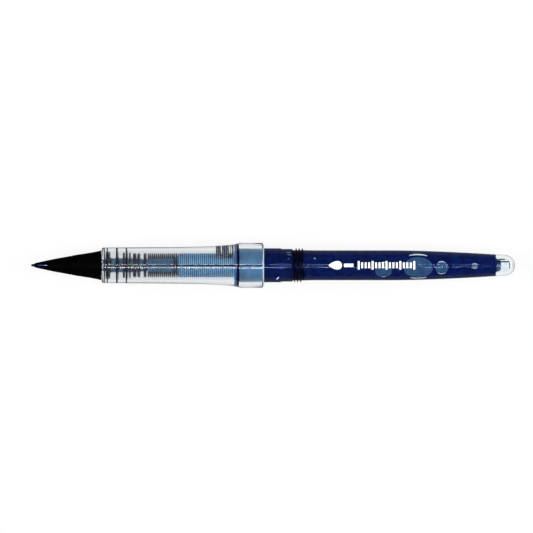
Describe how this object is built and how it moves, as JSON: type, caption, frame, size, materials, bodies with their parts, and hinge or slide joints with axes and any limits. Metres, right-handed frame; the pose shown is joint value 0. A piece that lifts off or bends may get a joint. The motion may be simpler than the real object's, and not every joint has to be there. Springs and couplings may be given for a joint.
{
  "type": "plastic-nib pen refill",
  "caption": "Pen writing unit: hard black nib in a cone holder, clear grip shell with finned ink feed and flange, threaded clear ink reservoir with a domed tail.",
  "frame": {"origin": "on the pen's axis, halfway between the writing tip and the domed tail (centre of the bounding box)", "axes": "+X along the pen from the writing tip to the tail; +Z out of the side that carries the nib's ink window and the feed's slit; +Y out of the side with the comb's tall vent fins"},
  "size_m": [0.12, 0.011, 0.011],
  "materials": {
    "wet_point": "glossy, wet with ink",
    "nib_plastic": "glossy black",
    "holder_plastic": "satin black",
    "wick_fibre": "ink-soaked bonded fibre",
    "clear_shell": "clear moulded plastic",
    "feed_plastic": "pale blue-grey with ink held between the fins",
    "seal_rubber": "dark, wet with ink",
    "plug_plastic": "pale blue-grey",
    "clear_tank": "clear moulded plastic",
    "ink": "dark blue-black liquid"
  },
  "bodies": {
    "grip": {"front_housing": "clear_shell", "front_feed": "feed_plastic", "comb_collector": "feed_plastic", "seal_ring": "seal_rubber", "tank_plug": "plug_plastic", "relay_wick": "wick_fibre"},
    "holder": {"nib_holder": "holder_plastic"},
    "nib": {"nib_body": "nib_plastic", "nib_point": "wet_point"},
    "tank": {"ink_reservoir": "clear_tank", "ink_charge": "ink"}
  },
  "joints": [
    {"name": "nib_pull", "type": "slide", "parent": "grip", "child": "holder", "axis": [-1, 0, 0], "range_m": [0, 0.006]},
    {"name": "nib_flex", "type": "hinge", "parent": "holder", "child": "nib", "pos_m": [-0.0455, 0, 0], "axis": [0, 1, 0], "range_deg": [-2, 2], "stiffness_Nm_per_rad": 0.2},
    {"name": "tank_pull", "type": "slide", "parent": "grip", "child": "tank", "axis": [1, 0, 0], "range_m": [0, 0.012]}
  ]
}
